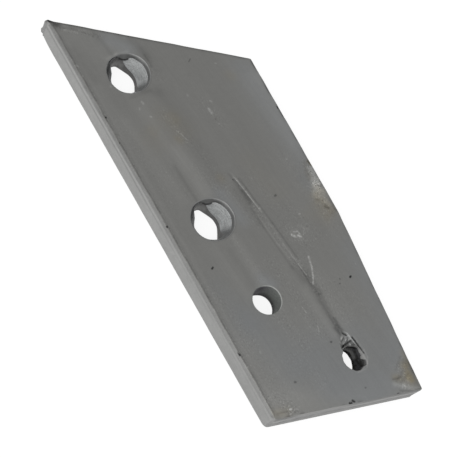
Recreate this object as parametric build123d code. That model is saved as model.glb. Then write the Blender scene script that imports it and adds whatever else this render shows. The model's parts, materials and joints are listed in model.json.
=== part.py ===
from build123d import *
import os

# Ploughshare point: one flat steel bar, cut off slanting at both ends.
# It lies on its back face at z = 0, with its worn front face up.
# The origin is where the axis of the first bolt hole meets the back face.
# "along" runs down the bar from the acute top corner, "across" runs in from the long left edge.

# Bar, millimetres
bar_width = 80.0
bar_thickness = 12.0
left_edge_length = 200.0

# Outline
top_end_slant = 50.4          # how far the top end has come down at the right edge
lower_end_slant = 18.3        # how far the lower end runs on past the left edge
kink_along = 133.0            # where the right edge starts to turn in
kink_inset = 1.8              # how far the right edge is in from the full width there
lower_end_inset = 11.7        # and at the lower end

# Edges and corners
front_left_round = 1.7
back_left_round = 1.0
cut_edge_round = 0.5
top_corner_radius = 0.8       # both upper corners
heel_corner_radius = 2.5      # lower left corner
nose_corner_radius = 1.5      # lower right corner

# Two countersunk plough bolt holes near the left edge
first_bolt_along = 36.6
bolt_spacing = 75.9
bolt_across = 22.1
rim_radius = 10.25
lead_in_depth = 2.3
lead_in_foot_radius = 8.75
seat_depth = 7.3              # from the foot of the lead-in down to the foot of the seat
seat_foot_radius = 5.4

# Lozenge neck under each seat, which keeps the bolt from turning
neck_corners_along = 24.3     # over the sharp corners, along the bar
neck_corners_across = 13.7    # over the sharp corners, across the bar
neck_end_radius = 2.6
neck_side_radius = 8.5
neck_shift = 0.9              # the neck lies this much nearer to the top end than its rim

# Plain round hole
plain_along = 154.2
plain_across = 25.2
plain_radius = 6.5
plain_chamfer = 0.35

# Worn hole near the lower end, pulled out of round towards the top
worn_above_heel = 6.6         # its middle, above the lower end of the left edge
worn_across = 47.2
worn_radius = 5.1
pull_along = 4.0
pull_across = 0.6
pull_radius = 4.25

# Torn hollow above the worn hole
tear_length = 12.2            # from the middle of the worn hole up to its top edge
tear_top_shift = 1.3          # the middle of its top edge lies this much further across
tear_top_width = 4.0
tear_depth = 1.6

# Crease that runs up the front face from the torn hollow
crease_length = 92.8
crease_drift = 9.2            # its upper end lies this much nearer to the left edge
crease_bow = 2.1              # how far its middle bows away from the left edge
crease_width = 0.9
crease_depth = 0.35

bar_length = left_edge_length + lower_end_slant
worn_along = left_edge_length - worn_above_heel


def place(along, across):
    """x and y of a point that is measured down the bar and in from its left edge."""
    return (across - bolt_across, first_bolt_along - along)


def plate_outline():
    """The five-cornered outline, with four of its corners rounded."""
    corners = [
        (0, 0, top_corner_radius),
        (top_end_slant, bar_width, top_corner_radius),
        (kink_along, bar_width - kink_inset, 0),
        (bar_length, bar_width - lower_end_inset, nose_corner_radius),
        (left_edge_length, 0, heel_corner_radius),
    ]
    outline = make_face(Polyline([place(along, across) for along, across, _ in corners], close=True))
    for along, across, radius in corners:
        if radius > 0:
            corner = outline.vertices().sort_by_distance(place(along, across))[0]
            outline = fillet(corner, radius)
    return outline


def rolled_bar():
    """The bar before it was cut, with its two left edges rolled round."""
    left, top = place(0, 0)
    right, lower = place(bar_length, bar_width)
    across_bar = Plane(origin=(0, top, 0), x_dir=(1, 0, 0), z_dir=(0, -1, 0))
    section = make_face(
        Polyline([(left, 0), (right, 0), (right, bar_thickness), (left, bar_thickness)], close=True)
    )
    front_corner = section.vertices().sort_by_distance((left, bar_thickness))[0]
    section = fillet(front_corner, front_left_round)
    back_corner = section.vertices().sort_by_distance((left, 0))[0]
    section = fillet(back_corner, back_left_round)
    return extrude(across_bar * section, top - lower)


def cut_plate():
    """The rolled bar cut to the outline, with the cut edges lightly broken."""
    cut = extrude(plate_outline(), bar_thickness)
    cut = fillet(cut.faces().sort_by(Axis.Z)[-1].outer_wire().edges(), cut_edge_round)
    cut = fillet(cut.faces().sort_by(Axis.Z)[0].outer_wire().edges(), cut_edge_round)
    return rolled_bar() & cut


def neck():
    """The lozenge prism under a seat, from the back face up to the foot of the lead-in."""
    half_along = neck_corners_along / 2
    half_across = neck_corners_across / 2
    lozenge = make_face(
        Polyline([(half_across, 0), (0, half_along), (-half_across, 0), (0, -half_along)], close=True)
    )
    ends = lozenge.vertices().sort_by(Axis.Y)
    lozenge = fillet([ends[0], ends[-1]], neck_end_radius)
    for side in (-half_across, half_across):
        corner = lozenge.vertices().sort_by_distance((side, 0))[0]
        lozenge = fillet(corner, neck_side_radius)
    return extrude(lozenge, bar_thickness - lead_in_depth)


def cone(low, low_radius, high, high_radius):
    """A round taper between two heights."""
    return loft([Pos(0, 0, low) * Circle(low_radius), Pos(0, 0, high) * Circle(high_radius)])


def bolt_hole(along):
    """One plough bolt hole: a short lead-in, a steep seat and the lozenge neck."""
    x, y = place(along, bolt_across)
    lead_in_foot = bar_thickness - lead_in_depth
    lead_in = cone(lead_in_foot, lead_in_foot_radius, bar_thickness, rim_radius)
    seat = cone(lead_in_foot - seat_depth, seat_foot_radius, lead_in_foot, lead_in_foot_radius)
    return Pos(x, y, 0) * (lead_in + seat + Pos(0, neck_shift, 0) * neck())


def plain_hole():
    """The plain round hole, with its front rim chamfered."""
    x, y = place(plain_along, plain_across)
    bore = extrude(Circle(plain_radius), bar_thickness)
    rim = cone(bar_thickness - plain_chamfer, plain_radius, bar_thickness, plain_radius + plain_chamfer)
    return Pos(x, y, 0) * (bore + rim)


def worn_hole():
    """The hole that was pulled out of round, right through the plate."""
    x, y = place(worn_along, worn_across)
    pulled = Pos(pull_across, pull_along) * Circle(pull_radius)
    opening = make_hull((Circle(worn_radius) + pulled).edges())
    return Pos(x, y, 0) * extrude(opening, bar_thickness)


def tear_top():
    """The middle of the torn hollow's top edge."""
    return place(worn_along - tear_length, worn_across + tear_top_shift)


def tear():
    """The shallow torn hollow, which widens down to the worn hole."""
    x, y = place(worn_along, worn_across)
    top_x, top_y = tear_top()
    half_top = tear_top_width / 2
    hollow = make_face(
        Polyline(
            [
                (top_x - half_top, top_y),
                (top_x + half_top, top_y),
                (x + worn_radius, y),
                (x - worn_radius, y),
            ],
            close=True,
        )
    )
    return Pos(0, 0, bar_thickness - tear_depth) * extrude(hollow, tear_depth)


def crease():
    """The long shallow crease, a vee carried up the front face along an arc."""
    top_x, top_y = tear_top()
    lower = Vector(top_x, top_y, bar_thickness)
    upper = lower + Vector(-crease_drift, crease_length, 0)
    middle = (lower + upper) / 2 + Vector(crease_bow, 0, 0)
    line = ThreePointArc(lower, middle, upper)
    heading = line % 0
    across_line = Plane(origin=lower, x_dir=(heading.Y, -heading.X, 0), z_dir=heading)
    half_width = crease_width / 2
    vee = make_face(Polyline([(-half_width, 0), (0, crease_depth), (half_width, 0)], close=True))
    return sweep(across_line * vee, path=line)


def share_plate():
    """The whole share point."""
    plate = cut_plate()
    for hole_number in range(2):
        plate -= bolt_hole(first_bolt_along + hole_number * bolt_spacing)
    plate -= plain_hole()
    plate -= worn_hole()
    plate -= tear()
    plate -= crease()
    return plate


os.makedirs("parts", exist_ok=True)
export_step(share_plate(), "parts/share_plate.step")
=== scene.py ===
import json
import math
import bpy
import numpy as np
from mathutils import Matrix, Vector


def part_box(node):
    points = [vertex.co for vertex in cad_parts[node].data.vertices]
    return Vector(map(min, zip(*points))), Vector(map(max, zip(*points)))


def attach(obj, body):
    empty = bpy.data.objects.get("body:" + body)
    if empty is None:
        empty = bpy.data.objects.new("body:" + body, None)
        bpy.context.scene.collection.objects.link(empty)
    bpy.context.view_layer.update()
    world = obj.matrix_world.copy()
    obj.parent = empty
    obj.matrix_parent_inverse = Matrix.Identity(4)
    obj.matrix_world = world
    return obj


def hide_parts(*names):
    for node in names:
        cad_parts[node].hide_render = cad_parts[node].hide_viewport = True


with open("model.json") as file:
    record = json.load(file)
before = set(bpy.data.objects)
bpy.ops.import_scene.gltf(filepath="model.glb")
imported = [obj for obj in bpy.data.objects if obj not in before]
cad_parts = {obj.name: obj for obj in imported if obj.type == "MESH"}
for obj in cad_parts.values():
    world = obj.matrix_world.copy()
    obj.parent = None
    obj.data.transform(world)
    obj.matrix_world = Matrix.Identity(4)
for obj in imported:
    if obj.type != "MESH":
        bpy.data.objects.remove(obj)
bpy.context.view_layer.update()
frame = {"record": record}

millimetre = 0.001

# All plan sizes are in millimetres: "along" runs down the plate from its acute top corner,
# "across" runs in from its long left edge, and depth runs down from the front face.
lowCorner, highCorner = (np.array(corner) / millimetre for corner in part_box("share_plate"))
mounts = {mount["name"]: mount for mount in frame["record"]["mounts"]}
boltAcross = -lowCorner[0]
firstBoltAlong = 36.6
thickness = highCorner[2]


def planPoint(along, across):
    # x and y of a plan point: x is across less the bolt line, y is the first bolt's along less along
    along, across = np.broadcast_arrays(along, across)
    return np.stack([across - boltAcross, firstBoltAlong - along], -1).astype(float)


def planOf(points):
    # the reverse: along and across of points that are given by x and y
    return firstBoltAlong - points[..., 1], points[..., 0] + boltAcross


def mountPoint(mountName):
    return np.array(mounts[mountName]["pos_m"][:2]) / millimetre


def between(first, second, share):
    # first at share 0, second at share 1, and a straight line between them
    return first + share * (second - first)


def rise(value, start, end):
    # 0 before start, 1 after end, and 3t^2 - 2t^3 between them
    share = np.clip((value - start) / (end - start), 0, 1)
    return share * share * (3 - 2 * share)


def fall(value, start, end):
    # the same turned round, from 1 down to 0
    return 1 - rise(value, start, end)


def hump(value, centre, width):
    # exp of minus the squared distance from the centre, counted in widths
    return np.exp(-((value - centre) / width) ** 2)


def plateau(value, start, end, soft):
    # 1 from start to end, with soft flanks
    return rise(value, start - soft, start + soft) * fall(value, end - soft, end + soft)


def sumOfStrokes(strokes, along, across, column=5):
    # a stroke is (along, across, along, across, half width, strength): its strength times the exp of minus
    # the squared distance from the straight line between its ends, counted in half widths; all are added up
    total = 0
    for stroke in strokes:
        start, end = np.array(stroke[:2], float), np.array(stroke[2:4], float)
        way = end - start
        away = np.stack([along - start[0], across - start[1]], -1)
        share = np.clip((away @ way) / (way @ way), 0, 1)
        away = away - share[..., None] * way
        total = total + stroke[column] * np.exp(-(away ** 2).sum(-1) / stroke[4] ** 2)
    return total


def waves(points, seed, count, xWaves, yWaves):
    # a sum of cosines, each with its own random wavelengths in x and y and its own start
    random = np.random.default_rng(seed)
    xPace = 2 * np.pi / random.uniform(*xWaves, count)
    yPace = 2 * np.pi / random.uniform(*yWaves, count) * random.choice([-1, 1], count)
    start = random.uniform(0, 2 * np.pi, count)
    phase = points[..., 0, None] * xPace + points[..., 1, None] * yPace + start
    return np.cos(phase).sum(-1) / math.sqrt(count)


# Outline, and the crease that runs up the front face from the torn hole
outline = dict(
    width=80.35, leftEdge=200.5, topSlant=50.4, lowerSlant=18.3,
    kinkAlong=133.0, kinkInset=1.8, lowerInset=11.6,
    tipRadius=0.35, topRadius=0.8, heelRadius=2.2, noseRadius=0.75,
    leftRound=1.7, backLeftRound=0.4, cutRound=0.4,
    border=2.6,             # flat strip between the grid and the outline
)
crease = dict(lowerAlong=181.2, lowerAcross=48.5, length=92.8, drift=9.2, bow=2.1, straighten=8.0)


def creaseAcross(along):
    # a chord with a parabola on it, across = lower - drift * f + 4 * bow * f * (1 - f), where f is the share
    # of the length above the lower end; past its upper end the line turns upright along an exponential
    share = np.clip((crease["lowerAlong"] - along) / crease["length"], 0, 1)
    curve = crease["lowerAcross"] - crease["drift"] * share + 4 * crease["bow"] * share * (1 - share)
    above = np.clip(crease["lowerAlong"] - crease["length"] - along, 0, None)
    slope = (crease["drift"] + 4 * crease["bow"]) / crease["length"]
    return curve - slope * crease["straighten"] * (1 - np.exp(-above / crease["straighten"]))


def sharpCorners():
    # the five corners, anticlockwise: top left, heel, nose, kink, top right
    length = outline["leftEdge"] + outline["lowerSlant"]
    along = [0, outline["leftEdge"], length, outline["kinkAlong"], outline["topSlant"]]
    across = np.array([0, 0, outline["lowerInset"], outline["kinkInset"], 0])
    return planPoint(along, np.where(np.arange(5) < 2, 0, outline["width"] - across))


def sideNormals(corners):
    # outward unit normal of each side: its direction turned clockwise
    way = np.roll(corners, -1, 0) - corners
    way /= np.linalg.norm(way, axis=1, keepdims=True)
    return np.stack([way[:, 1], -way[:, 0]], 1)


def insetCorners(corners, distance):
    # each corner moves in along the sum of its two sides' normals, by distance / (1 + their dot product)
    after = sideNormals(corners)
    before = np.roll(after, 1, 0)
    return corners - distance * (before + after) / (1 + (before * after).sum(1, keepdims=True))


# Front face relief, heights in millimetres; runs and channel ends are stretches along the crease
relief = dict(
    waveHeight=0.045, waveSeed=11, waveSizes=((9, 34), (60, 220)),
    backHeight=0.03, backSeed=5, backSizes=((14, 50), (40, 160)),
    troughDepth=0.16, troughAcross=3.0, troughWidth=1.0,
    creaseDepth=0.2, creaseWidth=0.34, lipHeight=0.05, lipShift=0.85, lipWidth=0.45,
    creaseRuns=[(0.95, 97, 117, 4), (0.3, 116, 144, 5), (0.65, 145, 157, 3)],
    raggedHeight=0.02, raggedShift=0.3, raggedWidth=1.7, raggedRun=(98, 158, 4),
    raggedSeed=17, raggedSizes=((0.9, 2.4), (2, 8)),
    channelDepth=0.42, channelWidth=1.5, channelStart=(140, 176), channelEnd=(181, 183.5),
)
tear = dict(
    top=181.6, foot=187.0, end=(190, 192), step=0.25, depth=2.3, bend=1.4,
    left=46.6, leftSpread=1.9, right=50.6, rightSpread=0.7,
)

# Torn metal round the worn hole: strokes whose strength is a height, and how bright (above 0) or dark
# (below 0) the metal is painted there: mostly painted highlights on the ridges and painted shade in the
# hollows and splits
tornStrokes = [
    (185.9, 45.5, 185.3, 45.9, 0.45, 0.5, 0.7), (184.6, 45.6, 184.2, 46.2, 0.4, 0.4, 0.75),
    (183.4, 46.9, 182.8, 47.8, 0.42, 0.3, 0.7), (183.8, 46.8, 183.3, 47.6, 0.5, 0.2, 0.35),
    (184.9, 48.9, 184.5, 49.4, 0.3, 0.3, 0.55), (185.7, 47.3, 185.3, 48.2, 0.25, 0.3, 0.4),
    (182.4, 48.3, 182.0, 48.6, 0.3, 0.1, 0.3), (184.4, 46.8, 183.6, 48.6, 0.35, -0.3, -0.45),
    (185.3, 49.6, 184.4, 50.2, 0.25, -0.2, -0.4), (187.6, 44.4, 184.6, 44.9, 0.18, -0.1, -0.45),
    (187.0, 45.2, 186.4, 47.2, 0.3, -0.4, -0.7), (186.5, 47.0, 186.0, 50.6, 0.45, -0.5, -0.85),
    (187.1, 46.6, 187.4, 48.0, 0.26, 0.3, 0.7), (187.4, 48.0, 187.9, 49.4, 0.3, 0.35, 0.6),
    (182.8, 50.1, 184.6, 50.5, 0.25, -0.2, -0.4), (183.4, 49.3, 183.3, 49.8, 0.3, 0.1, 0.4),
    (181.5, 49.0, 182.8, 50.1, 0.34, -0.5, -0.95), (184.8, 51.75, 193.2, 52.85, 0.3, -0.35, -0.6),
    (185.0, 52.9, 192.0, 53.9, 0.35, 0.05, 0.1), (192.0, 53.8, 195.6, 53.3, 0.3, 0.06, 0.25),
    (195.6, 53.3, 199.2, 50.6, 0.3, 0.06, 0.35), (199.6, 49.6, 199.4, 45.6, 0.3, 0.06, 0.3),
    (188.8, 51.1, 192.2, 51.6, 0.25, 0.05, 0.2), (187.4, 44.0, 184.4, 44.7, 0.2, 0.06, 0.2),
]


def tornDepth(along, across):
    # a hollow that steps in at its top edge and deepens down to the hole as a power of the way down, between
    # flanks that part, and the ridges and splits of the torn metal
    down = np.clip((along - tear["top"]) / (tear["foot"] - tear["top"]), 0, 1)
    left = tear["left"] - tear["leftSpread"] * down
    right = tear["right"] + tear["rightSpread"] * down
    inside = rise(across, left - 0.15, left + 0.5) * fall(across, right - 1.2, right + 0.4)
    inside = inside * rise(along, tear["top"] - 0.3, tear["top"] + 0.7) * fall(along, *tear["end"])
    depth = inside * between(tear["step"], tear["depth"], down ** tear["bend"])
    return depth - sumOfStrokes(tornStrokes, along, across)


def faceRelief(points):
    # height of the front face over its plane: slow lengthwise waves, a trough inside the rolled edge, the
    # crease as two narrow humps and a valley with ragged metal beside it, the wide channel above the torn
    # hole, and the torn hollow
    along, across = planOf(points)
    height = relief["waveHeight"] * waves(points, relief["waveSeed"], 16, *relief["waveSizes"])
    height -= relief["troughDepth"] * hump(across, relief["troughAcross"], relief["troughWidth"])
    aside = across - creaseAcross(along)
    run = sum(share * plateau(along, *stretch) for share, *stretch in relief["creaseRuns"])
    run = run * (0.72 + 0.28 * np.sin(1.3 * along + 2 * np.sin(0.45 * along)))
    lips = hump(np.abs(aside), relief["lipShift"], relief["lipWidth"])
    valley = hump(aside, 0, relief["creaseWidth"])
    height += run * (relief["lipHeight"] * lips - relief["creaseDepth"] * valley)
    ragged = plateau(along, *relief["raggedRun"]) * hump(aside, relief["raggedShift"], relief["raggedWidth"])
    ragged = ragged * waves(points, relief["raggedSeed"], 14, *relief["raggedSizes"])
    height += relief["raggedHeight"] * ragged
    channel = rise(along, *relief["channelStart"]) * fall(along, *relief["channelEnd"])
    height -= channel * relief["channelDepth"] * hump(aside, 0, relief["channelWidth"])
    return height - tornDepth(along, across)


def frontHeight(plan):
    return thickness + faceRelief(plan)


def backHeight(plan):
    # the back bears on the ground at its lowest points and is never under it
    return relief["backHeight"] * (1 + np.tanh(waves(plan, relief["backSeed"], 12, *relief["backSizes"])))


# Grid of the flat faces
grid = dict(rows=320, leftColumns=72, rightColumns=48, fineStep=0.22, fineColumns=7.0)
rows = grid["rows"]
columns = grid["leftColumns"] + grid["rightColumns"]


def gradedShares(count):
    # shares from 0 to 1 whose steps grow from fineStep to 1 as 1 - (1 - fineStep) * exp(-(k / fineColumns)^2)
    steps = 1 - (1 - grid["fineStep"]) * np.exp(-(np.arange(count) / grid["fineColumns"]) ** 2)
    return np.concatenate([[0], np.cumsum(steps) / steps.sum()])


def rowEnds(corners):
    # both ends of each row: the left one slides down the left side, the right one down the two right sides
    topLeft, heel, nose, kink, topRight = corners
    steps = np.arange(rows + 1)
    left = between(topLeft, heel, (steps / rows)[:, None])
    right = [np.interp(steps, [0, kinkRow, rows], [topRight[k], kink[k], nose[k]]) for k in (0, 1)]
    return left, np.stack(right, 1)


def rowShares(left, right):
    # share of each grid point on its row, set so that one column follows the crease line;
    # where the crease line cuts a row is found by repeated substitution
    spine = np.full(len(left), 0.5)
    for _ in range(12):
        along, _ = planOf(between(left, right, spine[:, None]))
        target = planPoint(along, creaseAcross(along))[:, 0]
        spine = (target - left[:, 0]) / (right[:, 0] - left[:, 0])
    leftPart = 1 - gradedShares(grid["leftColumns"])[::-1]
    rightPart = gradedShares(grid["rightColumns"])[1:]
    spine = spine[:, None]
    return np.concatenate([spine * leftPart, spine + (1 - spine) * rightPart], 1)


def blockLoop(top, bottom, first, last):
    # rows and columns of the grid points round a block: down its left side, right, up and back
    down, over = np.arange(top, bottom), np.arange(first, last)
    loopRows = np.concatenate([down, np.full(len(over), bottom), down[::-1] + 1, np.full(len(over), top)])
    loopColumns = np.concatenate([np.full(len(down), first), over, np.full(len(down), last), over[::-1] + 1])
    return loopRows, loopColumns


def blockAround(points, centre, reach):
    # the smallest block with even row and column numbers whose sides lie at least reach from the centre
    way = points[:, -1] - points[:, 0]
    away = centre - points[:, 0]
    past = (way[:, 0] * away[:, 1] - way[:, 1] * away[:, 0]) / np.linalg.norm(way, axis=1)
    nearRow = np.argmin(np.abs(past))
    side = points[nearRow, ::2, 0] - centre[0]
    top, bottom = np.nonzero(past[::2] < -reach)[0][-1], np.nonzero(past[::2] > reach)[0][0]
    first, last = np.nonzero(side < -reach)[0][-1], np.nonzero(side > reach)[0][0]
    return 2 * top, 2 * bottom, 2 * first, 2 * last


# Surfaces: colour and gloss of the steel, how strong its grain and streaks are, and its bump in millimetres
surfaces = dict(
    wornFace=dict(base=(0.168, 0.168, 0.161), grain=0.055, streaks=0.03),
    rolledEdge=dict(base=(0.285, 0.286, 0.28), grain=0.11, streaks=0.04, bump=0.03),
    cutEnd=dict(base=(0.23, 0.23, 0.227), metallic=0.3, roughness=0.55, specular=0.2, grain=0.12,
                streaks=0.02),
    leadIn=dict(base=(0.185, 0.187, 0.185), grain=0.06),
    machinedSeat=dict(base=(0.375, 0.385, 0.385), metallic=0.4, roughness=0.5, grain=0.12),
    holeWall=dict(base=(0.112, 0.111, 0.109), metallic=0.3, roughness=0.6, specular=0.3, grain=0.4),
    drilledWall=dict(base=(0.138, 0.147, 0.138), metallic=0.1, roughness=0.6, specular=0.15, grain=0.1),
    # the torn metal's near-black base is painted shade for the dark inside of the torn hole
    tornMetal=dict(base=(0.04, 0.04, 0.038), metallic=0.0, roughness=0.6, specular=0.0, grain=0.5, bump=0.05),
)
slotOf = {name: number for number, name in enumerate(surfaces)}

# The mesh grows as arrays of points, faces and per-point values
build = dict(points=[], quads=[], quadSlots=[], tris=[], count=0)
build["values"] = dict(wearAndHighlight=[], grimeAndShade=[], bare=[])


def addPoints(plan, height, **values):
    # places and heights of any array shape go in; the points' numbers come back in the same shape
    build["points"].append(np.concatenate([plan, height[..., None]], -1).reshape(-1, 3))
    for key, parts in build["values"].items():
        parts.append(np.broadcast_to(values.get(key, 0.0), height.shape).reshape(-1))
    numbers = build["count"] + np.arange(height.size).reshape(height.shape)
    build["count"] += height.size
    return numbers


def addQuads(quads, slot):
    build["quads"].append(quads.reshape(-1, 4))
    build["quadSlots"].append(np.broadcast_to(slot, quads.shape[:-1]).reshape(-1))


def addBands(loops, slot, outward):
    # quads between each closed loop and the next; outward says on which side of the loops they face
    after = np.roll(loops, -1, 1)
    if outward:
        quads = np.stack([loops[:-1], loops[1:], after[1:], after[:-1]], -1)
    else:
        quads = np.stack([loops[:-1], after[:-1], after[1:], loops[1:]], -1)
    addQuads(quads, slot)


def addHalving(fine, coarse, outward):
    # three triangles join two steps of the fine loop to one step of the coarse loop
    one, two, three = fine[::2], fine[1::2], np.roll(fine[::2], -1)
    after = np.roll(coarse, -1)
    tris = np.stack([np.stack([one, two, coarse], -1), np.stack([two, after, coarse], -1),
                     np.stack([two, three, after], -1)], 1).reshape(-1, 3)
    build["tris"].append(tris[:, ::-1] if outward else tris)


def addBackStrip(edge, edgeNumbers, spread, block, outward):
    # from an edge at the back: the loop is halved, and two loops at the spread's shares lead to the back grid
    halfLoop = blockLoop(*(number // 2 for number in block))
    plan = between(edge[::2], backGrid[halfLoop], np.array(spread)[:, None, None])
    numbers = addPoints(plan, backHeight(plan))
    addHalving(edgeNumbers, numbers[0], outward)
    addBands(np.concatenate([numbers, backNumbers[halfLoop][None]]), slotOf["wornFace"], outward)


# Holes
boltHole = dict(
    rimRadius=10.25, leadDepth=2.3, leadFoot=8.75, rightLeadDepth=1.6, seatDepth=7.3, seatFoot=5.4,
    neckAlong=24.3, neckAcross=13.7, neckEndRadius=2.6, neckSideRadius=7.2,
    frontShift=-0.35, backShift=0.9, leanStart=4.5,     # the neck leans up the plate on its way to the back
    rimIn=0.4,                                          # how far the rim lies further in, except at the left
    brokenRadius=9.6, brokenTurns=(104.5, 125),         # where the lead-in is broken away at the upper left,
    brokenSlant=(2.2, 2.6),                             # and by how much its end turns per depth, and depth^2
    lipTurn=75, tongueTurn=70,                          # where a lip hangs over the seat, and its tongue
    reach=12.4, wobble=0.05,
)
plainHole = dict(radius=6.5, chamfer=0.35, reach=8.4, wobble=0.03)
wornHole = dict(
    along=193.1, across=47.2, radius=5.0, pullAlong=1.75, pullAcross=0.45, pullRadius=4.1,
    reach=10.8, wobble=0.1, collarRings=24,
)
# Rings of each rim: out from the rim (for the worn hole the share of the way in), depth, brightening (wear,
# and on the bolt holes' rims a painted highlight), and for the bolt holes darkening (painted shade) and
# surface
boltRim = [
    (0.8, 0.0, 0.0, 0.0, "wornFace"), (0.52, 0.0, 0.0, 0.14, "wornFace"),
    (0.3, 0.0, 0.1, 0.2, "wornFace"), (0.13, 0.03, 0.35, 0.05, "leadIn"),
    (-0.05, 0.15, 0.4, 0.02, "leadIn"), (-0.18, 0.34, 0.2, 0.05, "leadIn"),
]
plainRim = [(0.37, 0.0, 0.1), (0.25, 0.06, 0.9), (0.02, 0.4, 1.0)]
wornRim = [(0.0, 0.0, 0.3), (0.25, 0.06, 0.55), (0.5, 0.2, 0.4), (0.75, 0.4, 0.35), (1.0, 0.7, 0.4)]


def polarReach(angles, supportOf):
    # how far a convex outline reaches in a direction: its support over the cosine, the least of all normals
    normals = np.linspace(-np.pi, np.pi, 721)[None, :]
    cosine = np.cos(angles[:, None] - normals)
    reach = supportOf(normals) / np.where(cosine > 0.02, cosine, np.nan)
    return np.nanmin(reach, axis=1)


def lozengeSupport(normals, hole):
    # a rhombus with arcs at its corners: arc centre times cosine plus arc radius
    halfAcross, halfAlong = hole["neckAcross"] / 2, hole["neckAlong"] / 2
    slope = math.hypot(halfAcross, halfAlong)
    cosine, sine = halfAlong / slope, halfAcross / slope
    sideDistance = halfAcross * cosine
    sideCentre = (sideDistance - hole["neckSideRadius"]) / cosine
    endCentre = (sideDistance - hole["neckEndRadius"]) / sine
    sideArc = sideCentre * np.abs(np.cos(normals)) + hole["neckSideRadius"]
    endArc = endCentre * np.abs(np.sin(normals)) + hole["neckEndRadius"]
    return np.where(np.abs(np.cos(normals)) > cosine, sideArc, endArc)


def pulledSupport(normals, hole):
    # the hull of two circles: the larger of their supports
    pulled = hole["pullAcross"] * np.cos(normals) + hole["pullAlong"] * np.sin(normals)
    return np.maximum(hole["radius"], pulled + hole["pullRadius"])


def turnFrom(angles, degrees):
    # signed turn from a direction, between minus and plus half a turn
    return np.angle(np.exp(1j * (angles - np.radians(degrees))))


def towards(angles, degrees, width):
    # a hump over the turn from a direction, which is in degrees, while widths and ends are in radians
    return hump(turnFrom(angles, degrees), 0, width)


def sector(angles, degrees, start, end, soft):
    # a plateau over the turn from a direction
    return plateau(turnFrom(angles, degrees), start, end, soft)


def softLeast(first, second):
    # the smaller of two values, rounded off where they meet: minus the log of the sum of exponentials
    sharpness = 2.2
    return -np.logaddexp(-sharpness * first, -sharpness * second) / sharpness


def neckReach(angles, depth, hole):
    # the lozenge, shifted up the plate in step with the depth; its upper end is cut off along a slanting
    # plane and its lower end along an upright one, and the wall widens where the lead-in is broken away
    depth = np.broadcast_to(depth, angles.shape)
    share = np.clip((depth - hole["leanStart"]) / (thickness - hole["leanStart"]), 0, 1)
    shift = between(hole["frontShift"], hole["backShift"], share)
    reach = polarReach(angles, lambda way: lozengeSupport(way, hole) + shift[:, None] * np.sin(way))
    top = between(hole["rimRadius"] - 0.3, hole["tipCut"], depth / thickness)
    top = top / np.maximum(np.sin(angles), 0.3)
    reach = softLeast(softLeast(reach, top), hole["footCut"] / np.maximum(-np.sin(angles), 0.3))
    share = brokenShare(angles, hole["leadDepth"], hole) * np.clip(1 - depth / thickness, 0, 1) ** 0.6
    return reach + share * np.clip(np.minimum(hole["brokenRadius"], top) - reach, 0, None)


def brokenEnd(depth, hole):
    # the right-hand end of the broken stretch, which turns towards the right as it goes down
    down = np.clip(depth, 0, hole["leadDepth"])
    return hole["brokenTurns"][0] - hole["brokenSlant"][0] * down - hole["brokenSlant"][1] * down ** 2


def brokenShare(angles, depth, hole):
    # 1 where the lead-in is broken away, from straight up round to the upper left
    started = rise(turnFrom(angles, brokenEnd(depth, hole)), -0.03, 0.03)
    return started * fall(turnFrom(angles, hole["brokenTurns"][1]), -0.05, 0.05)


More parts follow.
